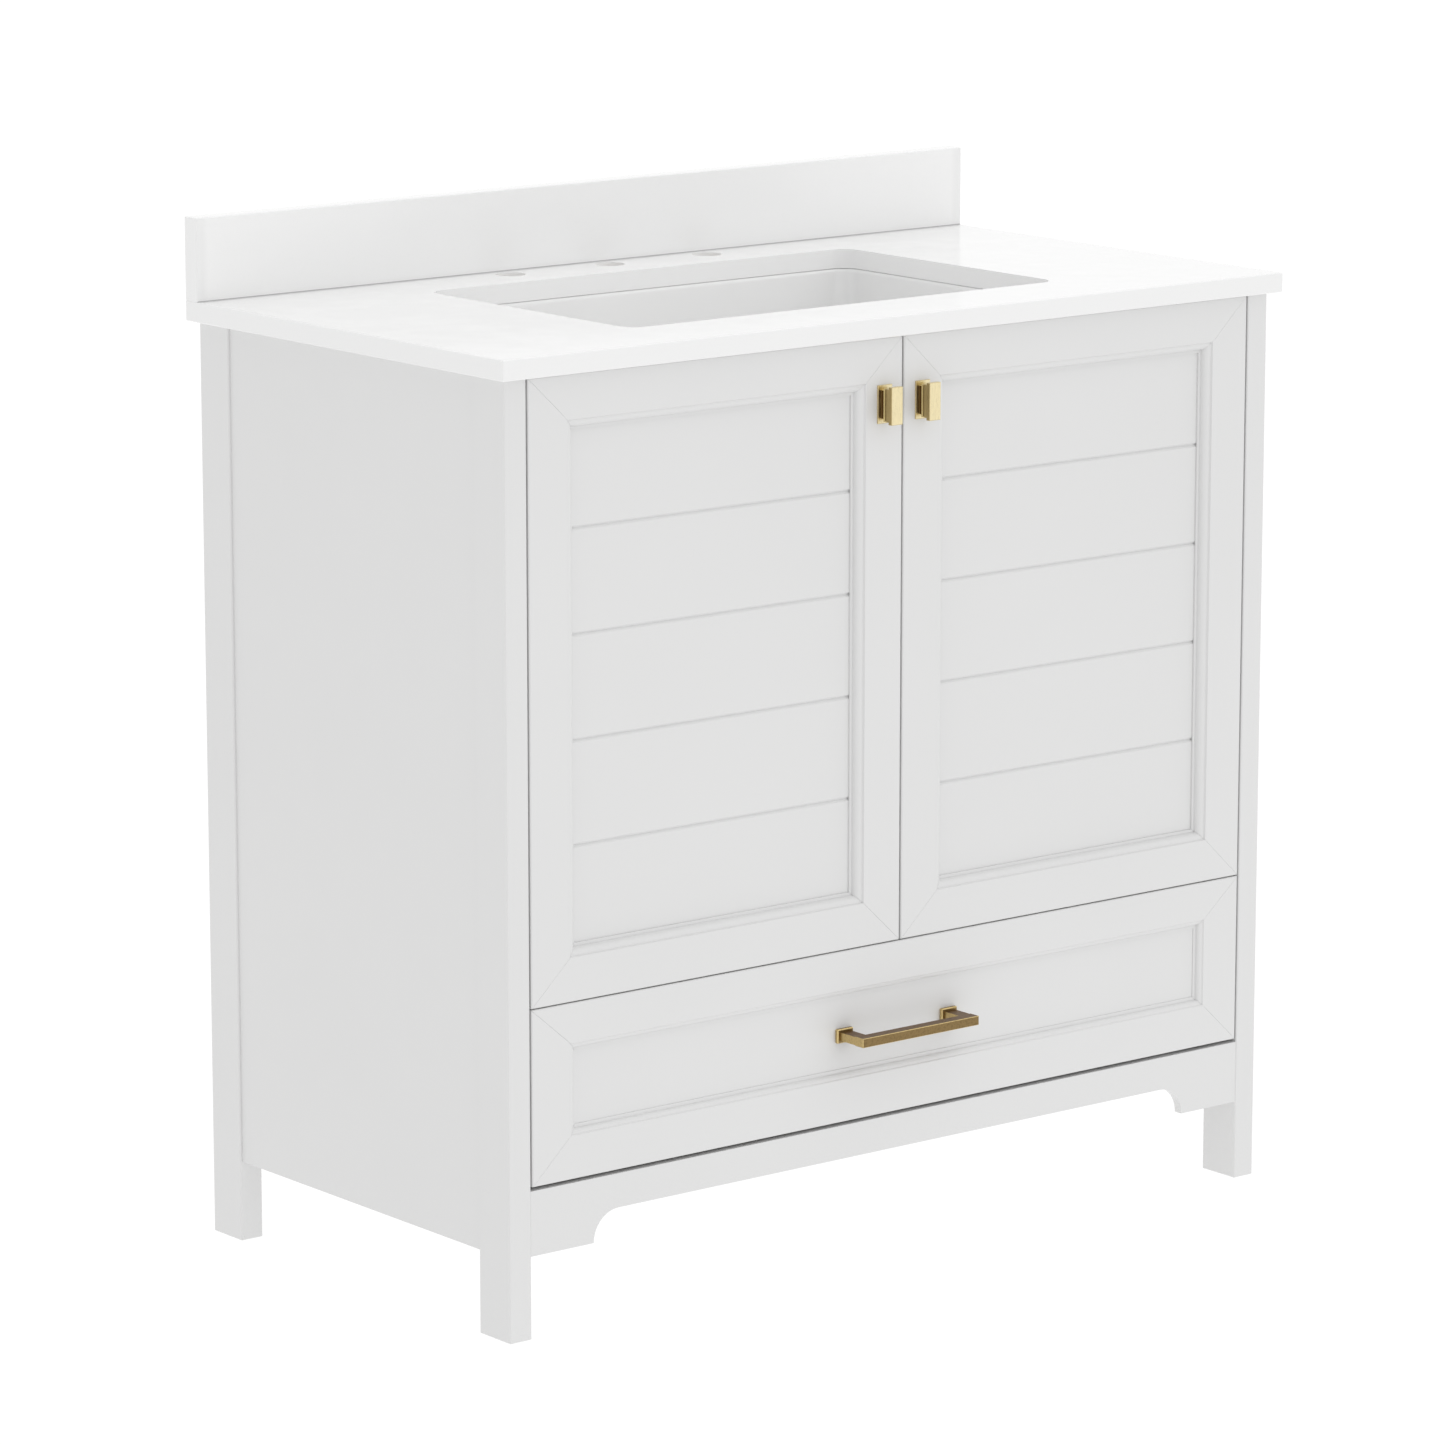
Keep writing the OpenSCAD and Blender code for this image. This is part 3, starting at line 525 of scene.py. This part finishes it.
# the overflow: a duct down the front wall and under the floor, bored to a hole high in the wall
FRONT_WALL = 153 * MM  # from the basin's middle forward to its front wall
DUCT_HALF_W = 16 * MM
DUCT_OUT = 21 * MM
DUCT_IN = 6 * MM
DUCT_DROP = 8 * MM
DUCT_EASE = 3 * MM
UNDER_H = 14 * MM
UNDER_BACK = 24 * MM
BORE_HALF_W = 12 * MM
BORE_OUT = 17 * MM
BORE_IN = 9 * MM
BORE_FLOOR = 4 * MM
BORE_DROP = 38 * MM
HOLE_R = 10 * MM
HOLE_DROP = 48 * MM
HOLE_START = 13 * MM
HOLE_END = 20 * MM


def rounded_ring(half_x, half_y, radius, z, centre_y):
    """Points of a rounded rectangle at height z, anticlockwise from the back of its right side."""
    arcs = []
    for sign_x, sign_y, start in ((1, 1, 0), (-1, 1, 90), (-1, -1, 180), (1, -1, 270)):
        cx = sign_x * (half_x - radius)
        cy = sign_y * (half_y - radius)
        arc = []
        for step in range(CORNER_STEPS + 1):
            angle = math.radians(start + 90 * step / CORNER_STEPS)
            arc.append((cx + radius * math.cos(angle), cy + radius * math.sin(angle)))
        arcs.append(arc)
    points = []
    for arc, following in zip(arcs, arcs[1:] + arcs[:1]):
        points += arc
        (end_x, end_y), (goal_x, goal_y) = arc[-1], following[0]
        for step in range(1, SIDE_STEPS):
            share = step / SIDE_STEPS
            points.append((end_x + (goal_x - end_x) * share, end_y + (goal_y - end_y) * share))
    return [Vector((x, y + centre_y, z)) for x, y in points]


def round_ring(like, radius, z, centre_y, share=1.0):
    """The ring like, at height z and moved by share of the way to a circle about the drain."""
    made = []
    for point in like:
        angle = math.atan2(point.y - centre_y, point.x)
        goal = Vector((radius * math.cos(angle), radius * math.sin(angle) + centre_y, z))
        flat = Vector((point.x, point.y, z))
        made.append(flat.lerp(goal, share))
    return made


def basin_rings(low, high):
    """Rings over the basin's whole skin: flange, bowl, drain, and back up the outside."""
    top = high.z - BASIN_SKIN
    cy = (low.y + high.y) / 2
    flange_x, flange_y = high.x, (high.y - low.y) / 2
    cut_x, cut_y = flange_x - FLANGE_W, flange_y - FLANGE_W
    floor_z = top - DEPTH
    wall_end = DEPTH - FOOT_R

    def ring(inset, radius, drop):
        """Ring that far inside the opening and that far below the flange's top."""
        return rounded_ring(cut_x - inset, cut_y - inset, radius, top - drop, cy)

    # outside of the flange, from its underside up, and over its top to the lip
    rings = [
        rounded_ring(flange_x, flange_y, FLANGE_R, top - FLANGE_T, cy),
        rounded_ring(flange_x, flange_y, FLANGE_R, top - FLANGE_EASE, cy),
        rounded_ring(flange_x - FLANGE_EASE, flange_y - FLANGE_EASE, FLANGE_R - FLANGE_EASE,
                     top, cy),
    ]
    lip_start = REVEAL - LIP_R
    rings.append(ring(lip_start - 2 * MM, CUT_R + LIP_R, 0))
    # rolled lip
    for step in range(LIP_STEPS + 1):
        angle = math.radians(90 * step / LIP_STEPS)
        inset = lip_start + LIP_R * math.sin(angle)
        rings.append(ring(inset, CUT_R - inset * 0.5, LIP_R * (1 - math.cos(angle))))
    # leaning wall and rounded foot
    for step in range(1, WALL_STEPS + 1):
        share = step / WALL_STEPS
        rings.append(ring(REVEAL + (LEAN - REVEAL) * share, CUT_R + (FOOT_R - CUT_R) * share,
                          LIP_R + (wall_end - LIP_R) * share))
    for step in range(1, FOOT_STEPS + 1):
        angle = math.radians(90 * step / FOOT_STEPS)
        rings.append(ring(LEAN + FOOT_R * (1 - math.cos(angle)),
                          max(FOOT_R * math.cos(angle), LEAST_R),
                          wall_end + FOOT_R * math.sin(angle)))
    # floor, drain seat, bore down to the underside of the overflow duct, and collar round it
    floor = rings[-1]
    for step in range(1, FLOOR_STEPS + 1):
        rings.append(round_ring(floor, SEAT_R, floor_z, cy, step / FLOOR_STEPS))
    for radius, drop in SEAT_STEPS:
        rings.append(round_ring(floor, radius, floor_z - drop, cy))
    rings.append(round_ring(floor, DRAIN_R, low.z, cy))
    rings.append(round_ring(floor, COLLAR_R, low.z, cy))
    # outside of floor, foot and wall, up to the flange's underside
    for step in range(FLOOR_STEPS, -1, -1):
        rings.append(round_ring(floor, COLLAR_R, floor_z - WALL, cy, step / FLOOR_STEPS))
    outer_r = FOOT_R + WALL
    for step in range(FOOT_STEPS - 1, -1, -1):
        angle = math.radians(90 * step / FOOT_STEPS)
        rings.append(ring(LEAN + FOOT_R - outer_r * math.cos(angle),
                          max(outer_r * math.cos(angle), LEAST_R),
                          wall_end + outer_r * math.sin(angle)))
    outer_top = FLANGE_T + 3 * MM
    for step in range(WALL_STEPS - 1, 0, -1):
        share = step / WALL_STEPS
        rings.append(ring(LEAN * share - WALL, CUT_R + WALL + (FOOT_R - CUT_R) * share,
                          outer_top + (wall_end - outer_top) * share))
    for flare, drop in ((1 * MM, outer_top - 1 * MM), (3 * MM, FLANGE_T)):
        rings.append(ring(-WALL - flare, CUT_R + WALL + flare, drop))
    return rings


def add_overflow(bowl, low, high):
    """Joins the overflow duct to the bowl, then bores it and opens its hole in the front wall."""
    cy = (low.y + high.y) / 2
    front = cy - FRONT_WALL
    top = high.z
    duct = box_mesh("duct", Vector((-DUCT_HALF_W, front - DUCT_OUT, low.z)),
                    Vector((DUCT_HALF_W, front + DUCT_IN, top - DUCT_DROP)), DUCT_EASE)
    combine(bowl, duct, "UNION")
    under = box_mesh("under", Vector((-DUCT_HALF_W, front - DUCT_OUT, low.z)),
                     Vector((DUCT_HALF_W, cy - UNDER_BACK, low.z + UNDER_H)), DUCT_EASE)
    combine(bowl, under, "UNION")
    hollow = box_mesh("hollow", Vector((-BORE_HALF_W, front - BORE_OUT, low.z + BORE_FLOOR)),
                      Vector((BORE_HALF_W, front - BORE_IN, top - BORE_DROP)))
    combine(bowl, hollow, "DIFFERENCE")
    hole = cylinder_mesh("hole", Vector((0, front - HOLE_START, top - HOLE_DROP)),
                         Vector((0, front + HOLE_END, top - HOLE_DROP)), HOLE_R)
    combine(bowl, hole, "DIFFERENCE")


def basin():
    """The glazed basin with its overflow, riding the cabinet in place of its CAD node."""
    low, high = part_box("sink_basin")
    shape = bmesh.new()
    loops = [[shape.verts.new(point) for point in ring] for ring in basin_rings(low, high)]
    for first, second in zip(loops, loops[1:] + loops[:1]):
        bridge(shape, first, second)
    bmesh.ops.recalc_face_normals(shape, faces=shape.faces)
    made = object_of("basin", shape)
    add_overflow(made, low, high)
    shade_smooth(made.data)
    made.data.materials.clear()
    made.data.materials.append(GLAZED)
    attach(made, "cabinet")
    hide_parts("sink_basin")


basin()

# ---------------------------------------------------------------------------
# Small pieces that ride on the CAD frame
# ---------------------------------------------------------------------------

BEAD_W = 0.9 * MM
BEAD_END_GAP = 1 * MM
# section of the bead, in widths forward of the backsplash and above its foot
BEAD_PROFILE = (
    (0.1, -0.05), (-1.0, -0.05), (-1.0, 0.12), (-0.62, 0.22), (-0.33, 0.42), (-0.16, 0.72),
    (-0.1, 1.05), (0.1, 1.05),
)

SCREW_R = 3.1 * MM
SCREW_H = 1.5 * MM
SCREW_RINGS = 6
SCREW_SEGMENTS = 32
CROSS_REACH = 1.9 * MM
CROSS_HALF_W = 0.35 * MM
CROSS_DEPTH = 0.7 * MM

# half the height of a hinge cup's flange, and the distance of its screws from its middle
HINGE_FLANGE_REACH = 29 * MM
HINGE_SCREW_REACH = 24 * MM


def splash_joint():
    """Thin bead of silicone in the corner between the backsplash and the slab."""
    low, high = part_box("backsplash")
    shape = bmesh.new()
    left, right = [
        [shape.verts.new((x, low.y + y * BEAD_W, low.z + z * BEAD_W)) for y, z in BEAD_PROFILE]
        for x in (low.x + BEAD_END_GAP, high.x - BEAD_END_GAP)
    ]
    bridge(shape, left, right)
    shape.faces.new(left)
    shape.faces.new(right[::-1])
    bmesh.ops.recalc_face_normals(shape, faces=shape.faces)
    mesh_piece("splash_joint", shape, JOINT, "cabinet")


def screw_head():
    """Mesh of a pan head with a cross recess; its seat is the origin and it stands along +Y."""
    shape = bmesh.new()
    rings = []
    for step in range(SCREW_RINGS):
        angle = math.radians(90 * step / SCREW_RINGS)
        across, up = SCREW_R * math.cos(angle), SCREW_H * math.sin(angle)
        turns = [2 * math.pi * i / SCREW_SEGMENTS for i in range(SCREW_SEGMENTS)]
        rings.append([
            shape.verts.new((across * math.cos(turn), up, across * math.sin(turn)))
            for turn in turns
        ])
    for first, second in zip(rings, rings[1:]):
        bridge(shape, first, second)
    crown = shape.verts.new((0, SCREW_H, 0))
    for i in range(SCREW_SEGMENTS):
        shape.faces.new((rings[-1][i], rings[-1][(i + 1) % SCREW_SEGMENTS], crown))
    shape.faces.new(rings[0][::-1])
    bmesh.ops.recalc_face_normals(shape, faces=shape.faces)
    head = object_of("screw_head", shape)
    for reach_x, reach_z in ((CROSS_REACH, CROSS_HALF_W), (CROSS_HALF_W, CROSS_REACH)):
        slot = box_mesh("slot", Vector((-reach_x, SCREW_H - CROSS_DEPTH, -reach_z)),
                        Vector((reach_x, SCREW_H + CROSS_DEPTH, reach_z)))
        combine(head, slot, "DIFFERENCE")
    mesh = head.data
    bpy.data.objects.remove(head)
    return mesh


def hinge_screws():
    """Two screws through the flange of each hinge cup, moving with its door."""
    head = screw_head()
    for side in ("left", "right"):
        low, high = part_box(f"door_{side}_hinge_cups")
        shape = bmesh.new()
        for hinge_z in (low.z + HINGE_FLANGE_REACH, high.z - HINGE_FLANGE_REACH):
            for reach in (-HINGE_SCREW_REACH, HINGE_SCREW_REACH):
                seat = Vector(((low.x + high.x) / 2, high.y, hinge_z + reach))
                before = len(shape.verts)
                shape.from_mesh(head)
                shape.verts.ensure_lookup_table()
                bmesh.ops.translate(shape, vec=seat, verts=shape.verts[before:])
        mesh_piece(f"door_{side}_hinge_screws", shape, STEEL, f"door_{side}")
    bpy.data.meshes.remove(head)


splash_joint()
hinge_screws()

# ---------------------------------------------------------------------------
# Studio
# ---------------------------------------------------------------------------

# brightness at two ends, and the two directions between which it changes from one to the other
LIGHT_LEFT_TO_RIGHT = (0.62, 1.06, -0.8, 0.1)
LIGHT_TO_OVERHEAD = (1.0, 1.16, 0.55, 0.9)
# share of that ceiling against the white band round the horizon, over the same kind of range
CEILING_SHARE = (0.0, 1.0, 0.16, 0.42)

FLOOR_SIZE = 60
FLOOR_DROP = 0.5 * MM
CAMERA_PLACE = (-3.682, -4.572, 1.672)
CAMERA_AZIMUTH = math.radians(38.60)
CAMERA_PITCH = math.radians(11.59)
CAMERA_LENS = 159.3


def studio():
    """A bright ceiling, dimmer to the left, above a white band and a white floor."""
    scene = bpy.context.scene
    scene.view_settings.view_transform = "Standard"
    scene.view_settings.look = "None"
    world = bpy.data.worlds.new("studio")
    scene.world = world
    world.use_nodes = True
    tree = world.node_tree
    ceiling = computed(tree, "MULTIPLY",
                       spread(tree, along(tree, "Generated", "X"), *LIGHT_LEFT_TO_RIGHT),
                       spread(tree, along(tree, "Generated", "Z"), *LIGHT_TO_OVERHEAD))
    height = spread(tree, along(tree, "Generated", "Z"), *CEILING_SHARE)
    shade = add(tree, "ShaderNodeMix", {"Factor": height, "A": 1.0, "B": ceiling},
                data_type="FLOAT")
    feed(tree, tree.nodes["Background"], {"Color": shade.outputs["Result"], "Strength": 1.0})
    bpy.ops.mesh.primitive_plane_add(size=FLOOR_SIZE, location=(0, 0, -FLOOR_DROP))
    floor = bpy.context.object
    floor.name = "floor"
    floor.data.materials.append(studio_floor())


def camera():
    """Long lens from the front left and above, looking slightly down."""
    data = bpy.data.cameras.new("camera")
    data.lens = CAMERA_LENS
    data.sensor_width = 36.0
    data.clip_start = 0.1
    data.clip_end = 100.0
    made = bpy.data.objects.new("camera", data)
    made.location = CAMERA_PLACE
    made.rotation_euler = (math.pi / 2 - CAMERA_PITCH, 0, -CAMERA_AZIMUTH)
    bpy.context.scene.collection.objects.link(made)
    bpy.context.scene.camera = made


studio()
camera()
